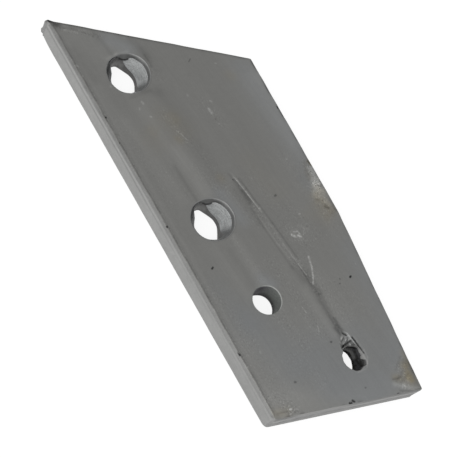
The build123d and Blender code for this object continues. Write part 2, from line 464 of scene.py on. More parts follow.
def boltStations(angles, hole):
    # radius and depth of each ring: rim, lead-in, the ledge under its foot, seat, lozenge neck, back edge.
    # The seat's rings run down to where the lozenge comes out of it, so an edge of the mesh follows that line
    leadDepth, leadFoot = hole["leadDepth"], hole["leadFoot"]
    slope = (leadFoot - hole["seatFoot"]) / hole["seatDepth"]
    broken = brokenShare(angles, leadDepth, hole)
    lip = sector(angles, hole["lipTurn"], -0.31, 0.4, 0.04) * (1 - broken)
    tongue = lip * towards(angles, hole["tongueTurn"], 0.16)
    right = sector(angles, -15, -1.0, 1.25, 0.2)
    left = towards(angles, 165, 0.95)
    low = sector(angles, -80, -0.7, 0.62, 0.3)
    footDepth = between(leadDepth, hole["rightLeadDepth"], right) + 0.05 * lip + 0.1 * tongue
    foot = leadFoot - slope * (footDepth - leadDepth) - 0.05 * lip - 0.2 * tongue
    seatTop = footDepth + 0.16 + 0.2 * lip - broken * (footDepth - 1.0)
    leave = seatTop + 2
    for _ in range(14):
        target = leadDepth + (leadFoot - neckReach(angles, leave, hole)) / slope
        leave = 0.5 * leave + 0.5 * np.clip(target, seatTop + 0.25, thickness - 0.9)
    rim = hole["rimRadius"] - hole["rimIn"] * sector(angles, 0, -1.95, 1.95, 0.25)
    rim = rim + 0.2 * towards(angles, 25, 0.35)
    # a painted highlight on the rim's round, strongest on the right, and painted shade, strongest on the
    # lower right
    worn = 0.1 + 0.35 * towards(angles, -10, 0.8)
    rimShade = 0.2 + 0.8 * sector(angles, -20, -1.2, 0.9, 0.3)
    rings = [(rim + out, depth, dict(wearAndHighlight=wearAndHighlight * worn, grimeAndShade=grimeAndShade * rimShade), slot)
             for out, depth, wearAndHighlight, grimeAndShade, slot in boltRim]
    leadStart, leadTop = rings[-1][:2]
    upper = towards(angles, 38, 0.5)
    lipShade = 0.12 + 0.2 * rise(turnFrom(angles, hole["tongueTurn"]), 0.1, -0.2)
    for share in (0.08, 0.25, 0.45, 0.65, 0.82, 0.94, 1.0):
        depth = between(leadTop, footDepth, share)
        gone = brokenShare(angles, depth, hole)
        split = towards(angles, brokenEnd(depth, hole) - 3, 0.075)
        sound = between(leadStart, foot, share)
        radius = between(sound, between(leadStart, hole["brokenRadius"], share), gone)
        depth = between(depth, between(leadTop, 1.0, share), gone)
        # painted shade on the lead-in: on its upper right and inner part, under the lip, over the broken
        # stretch and on the left side, and in a thin line along the step where the break ends
        outer = 0.08 * rise(share, 0.3, 0.7) * (1 - low) + 0.45 * upper * rise(share, 0.0, 0.5)
        outer = between(between(outer, lipShade, lip), 0.85, gone)
        grimeAndShade = np.maximum(0.9 * left, np.maximum(outer, split))
        grimeAndShade = np.maximum(grimeAndShade, 0.92 * gone * rise(turnFrom(angles, 100), 0, 0.3))
        # painted light makes the lower side, which lies in shade, lighter; a light line also runs near the
        # top except under the lip
        wearAndHighlight = 0.12 * low + 0.2 * (1 - low) * (1 - lip) * hump(share, 0.1, 0.2)
        rings.append((radius, depth, dict(grimeAndShade=np.clip(grimeAndShade, 0, 0.97), wearAndHighlight=wearAndHighlight), "leadIn"))
    wide = np.maximum(radius, neckReach(angles, depth + 0.13, hole)) + 0.45 * lip
    # painted shadow on the ledge under the lead-in's foot: near black, less over the broken stretch and on
    # the lower side
    ledgeShadow = np.maximum(left, (0.95 - 0.85 * broken) * (1 - 0.75 * low))
    for share in (0.12, 0.55, 1.0):
        ledgeDepth = depth + 0.03 + (0.1 + 0.2 * lip) * share
        rings.append((between(radius, wide, share), ledgeDepth, dict(grimeAndShade=ledgeShadow), "holeWall"))
    for share in np.concatenate([[0.0, 0.03, 0.06], np.linspace(0, 1, 15)[1:-1], [0.985]]):
        depth = between(seatTop, leave, share)
        under = depth - seatTop
        cone = leadFoot - slope * (depth - leadDepth)
        radius = np.maximum(cone, neckReach(angles, depth, hole)) + 0.45 * lip * fall(under, 0, 0.8)
        # painted shadow under the lip and along the top of the seat, and painted shade on its lower and left
        # sides
        shadow = 0.15 * (1 - low) * hump(under, 0, 0.12) + 1.2 * lip * plateau(under, -1, 0.75, 0.2)
        grimeAndShade = np.clip(shadow + 0.66 * low + 1.2 * left, 0, 1)
        rings.append((radius, depth, dict(grimeAndShade=grimeAndShade, bare=1.0), "machinedSeat"))
    for share in (0.0, 0.03, 0.1, 0.2, 0.32, 0.46, 0.6, 0.74, 0.88, 0.97):
        depth = between(leave, thickness - 0.35, share)
        # painted shade on the neck wall: under the lip, on the left side, and high up over the broken stretch
        shadow = lip * plateau(depth, 1, 3.5, 0.3) + left * (1 - broken)
        shadow = shadow + 0.5 * broken * fall(depth, 1.5, 3.5)
        light = 0.2 * (share == 0) + 0.6 * sector(angles, 96, -0.5, 0.5, 0.1) * hump(depth, 8.2, 3.0)
        values = dict(grimeAndShade=np.clip(shadow, 0, 1), wearAndHighlight=light)
        rings.append((neckReach(angles, depth, hole), depth, values, "holeWall"))
    return rings + backEdge(neckReach(angles, thickness, hole), "holeWall", (0.08, 0.1, 0.3), dict(wearAndHighlight=0.3))


def backEdge(radius, slot, sizes, values):
    # the last two rings of a wall: a little out just above the back, and further out and worn at the back
    out, above, lastOut = sizes
    last = (radius + lastOut, thickness, dict(wearAndHighlight=0.3), slot)
    return [(radius + out, thickness - above, values, slot), last]


def plainStations(angles, hole):
    # a straight wall with a small chamfer in front and a broken edge behind, a little flattened at the top
    # right; a dark band with a purple tint lies at the top of the wall, and painted shade darkens the wall
    # towards the back and at the upper and lower right
    radius = hole["radius"] - 0.35 * towards(angles, 70, 0.5)
    bright = 0.3 + 0.7 * sector(angles, 10, -1.2, 1.1, 0.35)
    rings = [(radius + out, depth, dict(wearAndHighlight=wearAndHighlight * bright), "drilledWall") for out, depth, wearAndHighlight in plainRim]
    top = towards(angles, 95, 0.75)
    topBand = 0.7 * towards(angles, 78, 0.3)
    shade = 0.12 * towards(angles, 52, 0.45) + 0.1 * towards(angles, -50, 0.4)
    for depth in [hole["chamfer"] + 0.12, *np.linspace(0.9, thickness - 0.5, 12)]:
        # painted shade towards the back and at the upper and lower right, over the dark top band
        grimeAndShade = 0.85 * rise(depth, 7.0, 11.0) + topBand * plateau(depth, 1.2, 7.5, 1.5) + shade
        rings.append((radius, depth, dict(grimeAndShade=np.clip(grimeAndShade, 0, 1), bare=top), "drilledWall"))
    return rings + backEdge(radius, "drilledWall", (0.04, 0.15, 0.25), dict(grimeAndShade=0.6))


def wornStations(angles, hole):
    # a wall with a rough rim that leans out under the tear; a sliver of the face stands in at the right, and
    # a torn flap hangs into the hole below it, widening to a point
    radius = polarReach(angles, lambda way: pulledSupport(way, hole)) + 0.7 * towards(angles, 275, 0.5)
    radius = radius - 0.42 * towards(angles, 195, 0.6) + 1.15 * towards(angles, -44, 0.3)
    turn = np.degrees(turnFrom(angles, 0))
    hanging = 0.8 * towards(angles, 14, 0.24) + 1.9 * fall(turn, -28, 16) * rise(turn, -33, -28)
    dull = 1 - 0.75 * towards(angles, 50, 0.4)
    light = dull * (0.6 + 0.4 * towards(angles, -10, 0.6))
    rings = []
    for share, depth, wearAndHighlight in wornRim:
        values = dict(wearAndHighlight=wearAndHighlight * light, bare=dull * (1 - 0.6 * share))
        rings.append((radius + 0.45 - (0.45 + hanging) * share, depth, values, "tornMetal"))
    behind = 0.9 * towards(angles, 60, 0.55) - 0.75 * towards(angles, -40, 0.45)
    behind = behind - 0.35 * towards(angles, -8, 0.35) - 1.1 * towards(angles, -46, 0.32)
    for depth in [0.85, 1.0, *np.linspace(1.3, thickness - 0.5, 18)]:
        undercut = 0.9 * towards(angles, 83, 0.75) * hump(depth, 4.0, 2.0)
        undercut = undercut + 0.12 * np.sin(5 * angles + depth) * hump(depth, 6, 3)
        undercut = undercut - hanging * fall(depth, 0.75, 1.5) + behind * rise(depth, 7, 11.5)
        smudge = 0.55 * plateau(turn, -75, -25, 12) * hump(depth, 1.5, 2.2)
        streak = plateau(turn, 2, 80, 8) * hump(depth, 8.5 - 2 * (turn - 10) / 55, 1.3)
        # painted shadow high on the upper right wall, under the torn edge
        corner = 0.85 * plateau(turn, 34, 84, 8) * plateau(depth, 0.9, 4.2, 0.6)
        values = dict(bare=smudge + streak, wearAndHighlight=0.35 * streak, grimeAndShade=corner)
        rings.append((radius + undercut, depth, values, "tornMetal"))
    return rings + backEdge(radius + behind, "tornMetal", (0.06, 0.15, 0.3), {})


def addHole(centre, hole, stationsOf, seed):
    # collar rings blend from the block's square loop to the rim, the stations carry the rim down through the
    # plate, and a collar at the back, halved once, blends out to the back grid's loop
    block = blockAround(flatGrid, centre, hole["reach"])
    loop = blockLoop(*block)
    square = flatGrid[loop]
    away = square - centre
    angles = np.unwrap(np.arctan2(away[:, 1], away[:, 0]))
    steps = np.linalg.norm(np.roll(square, -1, 0) - square, axis=1)
    even = angles[0] + 2 * np.pi * (np.cumsum(steps) - steps) / steps.sum()
    angles = 0.5 * angles + 0.5 * even
    direction = np.stack([np.cos(angles), np.sin(angles)], 1)
    rings = stationsOf(angles, hole)
    rough = hole["wobble"] * waves(6 * direction, seed, 9, (2.0, 9.0), (2.0, 9.0))
    rim = centre + direction * (rings[0][0] + 0.4 * rough)[:, None]
    shares = np.linspace(0, 1, hole.get("collarRings", 12) + 1)[1:-1][::-1] ** 1.35
    collar = between(rim, square, shares[:, None, None])
    loops = [frontNumbers[loop], *addPoints(collar, frontHeight(collar))]
    slots = [slotOf["wornFace"]] * len(loops) + [slotOf[slot] for *_, slot in rings[1:]]
    rimHeight = faceRelief(rim)
    for radius, depth, values, _ in rings:
        fade = np.clip(1 - depth / thickness, 0, 1)
        plan = centre + direction * (radius + rough * (0.4 + 0.6 * fade))[:, None]
        loops.append(addPoints(plan, thickness - depth + rimHeight * fade, **values))
    addBands(np.stack(loops), np.array(slots)[:, None], outward=False)
    backRim = centre + direction * (rings[-1][0] + 0.4 * rough)[:, None]
    near = between(backRim, square, 0.25)
    nearNumbers = addPoints(near, backHeight(near))
    addBands(np.stack([loops[-1], nearNumbers]), slotOf["wornFace"], outward=False)
    addBackStrip(backRim, nearNumbers, (0.45, 0.7), block, outward=False)
    return block


# Outer edge: shares of the flat strip with how much of the dark edge line and of the painted shade at the
# rolled edge's foot each takes, turns of both rounds, shares of the wall
border = dict(
    flat=[(0.3, 0.0, 0.0), (0.6, 0.1, 0.0), (0.85, 0.55, 0.35), (1.0, 1.0, 1.0)],
    frontTurns=(15, 30, 45, 60, 75, 90), backTurns=(30, 60, 90),
    wall=(0.06, 0.12, 0.18, 0.25, 0.33, 0.42, 0.52, 0.62, 0.72, 0.82, 0.91, 1.0),
    footIn=0.4, footReach=5.0,      # the foot of the acute corner is drawn in
)


def roundedLoop(corners, loopStarts, loop):
    # each loop point within radius * tan(turn / 2) of a corner moves onto the arc there; normals turn with it
    radii = [outline["tipRadius"], outline["heelRadius"], outline["noseRadius"], 0, outline["topRadius"]]
    normals = sideNormals(corners)
    side = np.searchsorted(loopStarts, np.arange(len(loop)), side="right") - 1
    outward = normals[side]
    for number, radius in enumerate(radii):
        before, after, here = normals[number - 1], normals[number], loopStarts[number]
        if radius == 0:
            outward[here] = (before + after) / np.linalg.norm(before + after)
            continue
        turn = math.acos(before @ after)
        tangent = radius * math.tan(turn / 2)
        come = np.array([-before[1], before[0]])
        order = (np.arange(len(loop)) - here + len(loop) // 2) % len(loop) - len(loop) // 2
        distance = np.sign(order) * np.linalg.norm(loop - corners[number], axis=1)
        near = np.abs(distance) < tangent
        swing = (distance[near] + tangent) / (2 * tangent) * turn
        radial = np.sin(swing)[:, None] * come + np.cos(swing)[:, None] * before
        loop = loop.copy()
        loop[near] = corners[number] - come * tangent - before * radius + radius * radial
        outward[near] = radial
    return loop, outward


def edgeBulge(along, across, depth, isLeft):
    # how far the wall stands out: a ridge over a shallow groove on the rolled left edge, fading down the
    # plate, a sheared lip and a slightly hollow lower half on the cut ends, and at the acute corner a burr
    # squeezed out, over a foot that is drawn in
    fade = 1 - 0.9 * rise(along, 60, 135)
    rolled = 0.2 + fade * (0.06 * hump(depth, 2.0, 0.4) - 0.14 * hump(depth, 3.1, 0.55))
    rolled = rolled - 0.04 * hump(depth, 7.0, 2.5)
    sheared = 0.10 * hump(depth, 1.6, 0.8) - 0.16 * rise(depth, 3.0, 9.0) + 0.12 * hump(depth, 11.4, 0.5)
    wander = 0.05 * np.sin(along * 0.21 + across * 0.17) + 0.03 * np.sin(along * 0.53 - across * 0.41 + 1.3)
    fromTip = np.hypot(along, across)
    burr = 0.4 + 0.55 * rise(depth, 0, 2) + 0.6 * hump(depth, 8.6, 1.2)
    burr = burr * hump(fromTip, 0, 1.7) * fall(depth, 9.0, 10.6)
    burr = burr - border["footIn"] * hump(fromTip, 0, border["footReach"]) * rise(depth, 9.6, 11)
    return between(sheared + 0.6 * wander, rolled + 0.4 * wander, isLeft) + burr


def addBorder(outerLoop, outward):
    # a profile carried round the outline: flat strip, front round as a quarter circle, wall, back round, and
    # the back strip, halved once
    block = (0, rows, 0, columns)
    loop = blockLoop(*block)
    along, across = planOf(outerLoop)
    fromTip = np.hypot(along, across)
    leftEnd = outline["leftEdge"]
    isLeft = fall(across, 0.3, 1.6) * rise(along, 0.3, 2.4) * fall(along, leftEnd - 2.5, leftEnd)
    frontRound = between(outline["cutRound"], outline["leftRound"], isLeft)
    backRound = between(outline["cutRound"], outline["backLeftRound"], isLeft)
    frontRound = frontRound * (1 + 0.18 * waves(outerLoop, 21, 10, (6, 30), (5, 40)) * (1 - 0.5 * isLeft))
    startFlat = outerLoop - outward * frontRound[:, None]
    _, isBottom, isLowerRight, isUpperRight, isTop = rise(outward @ sideNormals(corners).T, 0.85, 0.97).T
    patches = 0.5 + 0.5 * np.tanh(1.6 * waves(outerLoop, 41, 9, (4, 16), (4, 16)))
    rightStrength = 0.55 * fall(along, 70, 110) + 0.25 + 0.4 * rise(along, 185, 205)
    isRight = np.maximum(isLowerRight, isUpperRight)
    edgeLineDark = isTop * (0.3 + 0.3 * patches) + isRight * rightStrength * patches
    edgeLineDark = edgeLineDark + 0.5 * isBottom * rise(patches, 0.75, 1)
    # painted shade at the foot of the rolled edge's round
    footShade = isLeft * (0.16 + 0.22 * patches)
    lowerLine = isBottom * (rise(across, 26, 42) + fall(across, 5, 14))
    ridgeFade = 1 - 0.75 * rise(along, 80, 150)
    stations = []
    for share, lineShare, footShare in border["flat"]:
        plan = between(flatGrid[loop], startFlat, share)
        stations.append((plan, frontHeight(plan), dict(grimeAndShade=lineShare * edgeLineDark + footShare * footShade)))
    edgeHeight = stations[-1][1]
    for degrees in border["frontTurns"]:
        angle = math.radians(degrees)
        drop = frontRound * (1 - math.cos(angle))
        out = (frontRound + edgeBulge(along, across, drop, isLeft)) * math.sin(angle)
        # painted highlight along the rolled edge's ridge, fading down the plate, and a light line along the
        # bottom round
        wearAndHighlight = (isBottom - lowerLine) * math.sin(2 * angle) * 0.5 + isLeft * hump(degrees, 82, 9) * ridgeFade
        grimeAndShade = edgeLineDark * (1 - isBottom) * math.cos(angle) ** 0.5 + footShade * hump(degrees, 8, 12)
        grimeAndShade = grimeAndShade + 0.3 * lowerLine * math.sin(angle) + 0.6 * hump(fromTip, 0, 1.3)
        values = dict(wearAndHighlight=wearAndHighlight, bare=rise(degrees, 34, 92), grimeAndShade=grimeAndShade)
        stations.append((startFlat + outward * out[:, None], edgeHeight - drop, values))
    for share in border["wall"]:
        height = between(edgeHeight - frontRound, backRound, share)
        depth = thickness - height
        bulge = edgeBulge(along, across, depth, isLeft)
        # painted shade in the groove under the rolled edge's ridge
        grimeAndShade = isLeft * (0.3 * ridgeFade * hump(depth, 3.2, 0.5) + 0.06 * rise(along, 110, 190))
        grimeAndShade = grimeAndShade + isBottom * (0.15 + 0.2 * patches) * plateau(depth, 3.6 + 2 * lowerLine, 8.8, 1.2)
        grimeAndShade = grimeAndShade + 0.3 * lowerLine * fall(depth, 2.2, 3.4)
        values = dict(bare=1.0, grimeAndShade=grimeAndShade, wearAndHighlight=0.5 * lowerLine * hump(depth, 4.2, 1.0))
        stations.append((outerLoop + outward * bulge[:, None], height, values))
    for angle in np.radians(border["backTurns"]):
        inward = backRound * (1 - math.cos(angle)) + border["footIn"] * hump(fromTip, 0, border["footReach"])
        values = dict(bare=1.0, wearAndHighlight=0.3 * math.sin(2 * angle))
        stations.append((outerLoop - outward * inward[:, None], backRound * (1 - math.sin(angle)), values))
    loops = [frontNumbers[loop]] + [addPoints(plan, height, **values) for plan, height, values in stations]
    edgeSlots = np.where(isLeft > 0.5, slotOf["rolledEdge"], slotOf["cutEnd"])
    faceBands = len(border["flat"]) + 2     # the face's surface reaches two bands into the front round
    slots = [np.full_like(edgeSlots, slotOf["wornFace"])] * faceBands
    slots += [edgeSlots] * (len(stations) - faceBands)
    addBands(np.stack(loops), np.stack(slots), outward=True)
    addBackStrip(stations[-1][0], loops[-1], (0.35, 0.7), block, outward=True)


def gridQuads(numbers, blocks, faceUp):
    # every cell of the grid outside the holes' blocks
    keep = np.ones((numbers.shape[0] - 1, numbers.shape[1] - 1), bool)
    for top, bottom, first, last in blocks:
        keep[top:bottom, first:last] = False
    quads = np.stack([numbers[:-1, :-1], numbers[1:, :-1], numbers[1:, 1:], numbers[:-1, 1:]], -1)[keep]
    addQuads(quads if faceUp else quads[:, ::-1], slotOf["wornFace"])


def meshObject(name, points, faces, slots, materials, values):
    mesh = bpy.data.meshes.new(name)
    mesh.from_pydata(points * millimetre, [], faces)
    mesh.polygons.foreach_set("material_index", slots.astype(np.int32))
    mesh.polygons.foreach_set("use_smooth", np.ones(len(slots), bool))
    for material in materials:
        mesh.materials.append(material)
    for key, value in values.items():
        mesh.attributes.new(key, "FLOAT", "POINT").data.foreach_set("value", value.astype(np.float32))
    mesh.update()
    piece = bpy.data.objects.new(name, mesh)
    bpy.context.scene.collection.objects.link(piece)
    return piece


corners = sharpCorners()
innerCorners = insetCorners(corners, outline["border"])
upperRight, lowerRight = np.linalg.norm(innerCorners[[4, 3]] - innerCorners[[3, 2]], axis=1)
kinkRow = 2 * round(rows / 2 * upperRight / (upperRight + lowerRight))
leftEnds, rightEnds = rowEnds(innerCorners)
shares = rowShares(leftEnds, rightEnds)[..., None]
flatGrid = between(leftEnds[:, None], rightEnds[:, None], shares)
backGrid = flatGrid[::2, ::2]
frontNumbers = addPoints(flatGrid, frontHeight(flatGrid))
backNumbers = addPoints(backGrid, backHeight(backGrid))
outerLeft, outerRight = rowEnds(corners)
outerGrid = between(outerLeft[:, None], outerRight[:, None], shares)
loopStarts = [0, rows, rows + columns, 2 * rows + columns - kinkRow, 2 * rows + columns]
addBorder(*roundedLoop(corners, loopStarts, outerGrid[blockLoop(0, rows, 0, columns)]))
blocks = [
    addHole(mountPoint("first_bolt_seat"), dict(boltHole, tipCut=10.3, footCut=6.9), boltStations, 31),
    addHole(mountPoint("second_bolt_seat"), dict(boltHole, tipCut=9.6, footCut=7.9), boltStations, 32),
    addHole(mountPoint("plain_hole"), plainHole, plainStations, 33),
    addHole(planPoint(wornHole["along"], wornHole["across"]), wornHole, wornStations, 34),
]
gridQuads(frontNumbers, blocks, faceUp=True)
gridQuads(backNumbers, [tuple(number // 2 for number in block) for block in blocks], faceUp=False)
print("plate mesh worked out:", build["count"], "points")


# Broad tones of the worn face, as strokes; each step of tone brightens the face by this share
toneStep = 0.0193
toneStrokes = [
    (12, 9, 30, 17, 4.5, 4), (18, 4, 52, 9, 3.2, -4), (20, 22, 26, 27, 4.5, 9),
    (26.3, 21, 26.8, 26.5, 0.9, 9), (27.0, 16.5, 26.3, 21, 0.9, 10), (31, 33.3, 37.5, 33.5, 0.6, -9),
    # the dark strokes at along 47 to 50, under the first bolt hole's rim, are painted shade
    (47.6, 17, 47.6, 27, 0.9, -5), (12, 17, 26, 19.5, 1.2, -6), (22, 31, 33, 34, 2.0, -6),
    (28, 34, 40, 34.5, 2.4, -4), (47, 25, 50, 30, 2.5, -5), (50, 32, 95, 34, 4.6, -3.5),
    (38, 6, 100, 14, 2.6, 4), (55, 19, 100, 24.5, 3.2, 4), (78, 24, 101, 26, 3.4, 6),
    (84, 18.6, 102, 19.6, 0.9, -7), (104, 33, 119, 34.5, 3.0, 5), (105, 38.5, 122, 41, 2.0, -5),
    (124, 16, 149, 18, 2.3, 4), (124, 26, 149, 28, 2.4, 6), (128, 21.5, 146, 22.5, 1.6, -3),
    (146, 27, 149, 31, 2.2, 5), (150, 47.4, 181, 48.2, 1.9, -9), (158, 43.4, 180, 44.4, 1.8, 5),
    (155, 52, 178, 52.5, 2.5, 3), (132, 52.5, 136, 55, 1.7, 6), (131, 57, 134, 60, 1.0, 5),
    (108, 58, 126, 62, 4.0, 2.5), (188.2, 51.0, 191.8, 51.6, 0.8, -18),
    (188.0, 50.6, 188.6, 51.8, 0.7, -12), (60, 76, 95, 78, 5.0, 6), (168, 8, 196, 14, 6.0, 2),
    (190, 3, 200, 20, 5.0, 4), (197.0, 1.2, 200.4, 5.5, 0.9, 5), (198.6, 2.4, 199.8, 7.4, 0.4, -16),
    (200.6, 8.2, 201.6, 11.5, 0.5, -16),
    # heat mark on the right edge
    (105.6, 78.4, 107.8, 78.8, 0.6, -45), (106, 76.4, 113, 74.2, 1.1, -9),
    (109, 77.6, 116.5, 77.2, 1.5, 26), (113.5, 75.4, 118, 74.2, 1.2, 14), (117, 75, 122, 72.6, 1.4, 8),
    (116.5, 75.5, 120.5, 76.5, 1.8, 24), (121, 73.5, 127, 76.0, 2.4, 15),
    (123.2, 71.9, 123.6, 72.4, 0.5, -22), (128.0, 74.0, 128.8, 75.0, 0.7, -26), (125, 73, 131, 76, 1.6, -5),
    (126, 77.5, 131.5, 77.8, 0.6, -16), (117.5, 77.9, 119, 78.0, 0.35, -20),
    # acute corner and the band under the top edge
    (0.3, 0, 1.2, 1.0, 0.6, -40), (1.0, 0.8, 4.5, 4.5, 0.9, -14), (3.0, 1.8, 4.4, 3.4, 1.2, -23),
    (4.6, 3.9, 5.8, 6.6, 0.6, 12), (5.5, 4.2, 9.5, 11, 0.5, -12), (7.5, 5, 11, 11.5, 0.5, 9),
    (10, 10, 15, 18, 0.5, -7), (9, 11, 17, 24, 0.9, 4), (3, 5, 45, 72, 0.5, -7),
    # beside the crease
    (100.5, 42.8, 106, 43.8, 0.32, -11), (106, 43.8, 113.5, 44.5, 0.32, -10),
    (96.5, 39.6, 99.5, 40.4, 0.5, -8), (101, 40.6, 113, 41.6, 0.9, -14), (106, 41.6, 112, 42.4, 0.6, -14),
    (115, 41.0, 125, 41.4, 0.5, -9), (125, 41.4, 147, 43.6, 0.45, -9), (100, 43.4, 115, 45.2, 0.4, -6),
    (115, 45.2, 125, 46.4, 0.45, -10), (125, 46.4, 143, 48.2, 0.45, -12), (113, 43.4, 118, 44.0, 0.35, 8),
    (124, 44.7, 127, 45.0, 0.35, 8), (129, 45.1, 135, 45.6, 0.35, 9), (135, 45.6, 143, 46.7, 0.35, 15),
    (119, 42.0, 134, 43.2, 0.4, 9), (134, 43.2, 143, 44.8, 0.4, 8), (143, 45.8, 152, 47.4, 0.35, -8),
    (150, 49.6, 162, 49.8, 0.7, -6), (152, 47.6, 162, 48.4, 0.9, -10), (164, 47.0, 180, 47.6, 0.6, -7),
    (160, 49.4, 176, 49.6, 0.5, -5), (146, 44, 154, 45.2, 1.2, -7), (162, 48.4, 171, 48.9, 0.8, -6),
    (162, 46.9, 171, 47.1, 0.4, 4), (173.5, 48.1, 176, 48.4, 0.6, 11), (153.5, 46.8, 157, 47.2, 0.5, -6),
    (174, 48.6, 181, 49.2, 0.9, -22), (178, 46.6, 181.5, 47.4, 0.7, -16),
    # lower right corner
    (209.0, 58.6, 209.9, 62.6, 0.45, -22), (210.4, 59.4, 208.0, 65, 0.4, -14),
    (206, 62, 202, 67.5, 0.4, -10), (212.0, 60.5, 210.0, 66.5, 0.4, -14), (205, 68.2, 215, 67.4, 1.5, -12),
    (211.2, 58.0, 213.6, 61.5, 1.1, 19), (213.6, 61.5, 217.6, 66.4, 0.9, 16),
    (214.8, 59.0, 217.8, 65.0, 0.4, -14), (203, 69.6, 216.5, 68.0, 0.4, -12),
]
# Brown and blue tints
warmStrokes = [
    (63, 30.3, 64.5, 31, 3.0, 0.22), (65, 17.5, 66, 18, 2.4, 0.2), (73, 26.7, 74.2, 27.2, 1.8, 0.3),
    (96.6, 35, 97.4, 35.4, 2.0, 0.3), (54, 66, 54.8, 66.6, 2.6, 0.25), (62, 26, 70, 30, 6.0, 0.17),
    (68, 14, 72, 16, 5.0, 0.1), (95, 52, 112, 55, 6.0, 0.08), (105.6, 78.4, 107.8, 78.8, 0.7, 0.9),
    (106, 76.4, 113, 74.2, 1.2, 0.15), (118, 75, 121, 77, 2.0, 0.2), (122, 73, 130, 75.5, 2.8, 0.45),
    (126, 70, 132, 72, 3.0, 0.22), (128, 64, 134, 70, 3.5, 0.1), (206, 67, 213, 66.5, 2.0, 0.75),
    (209, 60, 212, 66, 2.0, 0.5), (201, 69.5, 206, 69, 1.6, 0.4), (198, 2, 200, 7, 2.2, 0.32),
]
coolStrokes = [
    (18, 22, 26, 28, 4.5, 0.8), (54, 74, 104, 78, 7.5, 0.7), (103, 31, 118, 34, 3.5, 0.8),
    (145, 28, 149, 31, 3.0, 0.8), (150, 74, 200, 69, 6.0, 0.6), (160, 14, 185, 20, 9.0, 0.7),
    (186, 35, 206, 45, 12.0, 0.8), (200, 30, 210, 55, 7.0, 0.6), (140, 8, 160, 12, 5.0, 0.35),
    (185, 55, 200, 62, 8.0, 0.6), (112, 71, 118, 72, 3.0, 0.4),
]
# Where fine scuffs roughen the face
scuffStrokes = [
    (55, 6, 100, 8, 4, 0.35), (140, 5, 165, 8, 4, 0.5), (170, 6, 212, 12, 6, 0.45),
    (84, 14, 98, 18, 3, 0.4), (60, 27, 76, 30, 3, 0.7), (88, 28, 104, 31, 3, 0.5),
    (120, 26, 146, 28, 3, 0.4), (160, 26, 178, 30, 4, 0.7), (182, 22, 196, 28, 5, 0.5),
    (82, 34, 100, 36, 3, 0.5), (104, 36, 122, 40, 3, 0.6), (140, 36, 178, 40, 4, 0.7),
    (62, 47, 74, 50, 3, 0.7), (100, 48, 118, 52, 4, 0.4), (128, 50, 140, 56, 4, 0.8),
    (145, 50, 178, 54, 4, 0.5), (122, 58, 138, 62, 4, 0.6), (160, 58, 176, 64, 4, 0.4),
    (100, 68, 140, 72, 4, 0.4), (6, 4, 16, 19, 1.6, 1.0), (100, 41.5, 118, 43.6, 1.6, 0.9),
    (118, 43.2, 145, 46, 1.8, 0.7), (145, 46.6, 160, 48.6, 1.6, 0.9), (160, 48, 181, 48.4, 1.6, 0.5),
    (107, 77, 118, 76.5, 2.6, 1.7), (118, 75, 130, 74.5, 3.0, 1.2), (206, 66, 214, 62, 3.5, 1.3),
    (192, 4, 200, 10, 2.4, 1.0), (20, 1.7, 198, 1.7, 0.7, 0.8), (34, 33, 46, 34, 2.0, 0.5),
]


def faceTone(along, across):
    # brighter towards the lower end and the right edge, plus the strokes
    broad = 6 * rise(along, 120, 200) + 5 * rise(along - 0.23 * across, 184, 204)
    broad += 7 * rise(across, 58, 80) * (1 - 0.6 * rise(along, 90, 150)) + 1.5
    return broad + sumOfStrokes(toneStrokes, along, across)


# Materials
def feed(tree, socket, value):
    # a link, or a fixed value; colours are given without their alpha
    if isinstance(value, bpy.types.NodeSocket):
        tree.links.new(value, socket)
    else:
        socket.default_value = (*value, 1.0) if socket.type == "RGBA" else value


def addNode(tree, kind, inputs=None, **settings):
    node = tree.nodes.new("ShaderNode" + kind)
    for key, value in settings.items():
        setattr(node, key, value)
    for key, value in (inputs or {}).items():
        feed(tree, node.inputs[key], value)
    return node


def calculate(tree, operation, first, second=0.0, third=0.0, clamp=False):
    inputs = {0: first, 1: second, 2: third}
    return addNode(tree, "Math", inputs, operation=operation, use_clamp=clamp).outputs[0]


def times(tree, first, second, clamp=False):
    return calculate(tree, "MULTIPLY", first, second, clamp=clamp)


def timesPlus(tree, first, second, third):
    return calculate(tree, "MULTIPLY_ADD", first, second, third)


def vectorMath(tree, operation, first, second):
    return addNode(tree, "VectorMath", {0: first, 1: second}, operation=operation).outputs


def remap(tree, value, low, high, newLow=0.0, newHigh=1.0, smooth=False):
    inputs = {"Value": value, "From Min": low, "From Max": high, "To Min": newLow, "To Max": newHigh}
    kind = "SMOOTHSTEP" if smooth else "LINEAR"
    return addNode(tree, "MapRange", inputs, interpolation_type=kind).outputs[0]


def mixColour(tree, factor, first, second, blend="MIX"):
    inputs = {0: factor, 6: first, 7: second}
    return addNode(tree, "Mix", inputs, data_type="RGBA", blend_type=blend, clamp_factor=True).outputs[2]


def scaled(tree, colour, factor):
    return addNode(tree, "VectorMath", {0: colour, "Scale": factor}, operation="SCALE").outputs[0]


def shaded(tree, colour, value, strength):
    # the colour times 1 + value * strength
    return scaled(tree, colour, timesPlus(tree, value, strength, 1.0))


def millimetres(tree, stretch=(1, 1, 1), turn=0.0):
    # object coordinates in millimetres, turned about z and then stretched per axis
    place = addNode(tree, "TexCoord").outputs["Object"]
    turned = addNode(tree, "Mapping", {"Vector": place, "Rotation": (0, 0, turn)}).outputs[0]
    return addNode(tree, "Mapping", {"Vector": turned, "Scale": tuple(1000 * s for s in stretch)}).outputs[0]


def noise(tree, vector, scale=1.0, detail=4.0, roughness=0.55):
    inputs = {"Vector": vector, "Scale": scale, "Detail": detail, "Roughness": roughness}
    return addNode(tree, "TexNoise", inputs).outputs["Fac"]


def attribute(tree, name):
    return addNode(tree, "Attribute", attribute_name=name).outputs["Fac"]


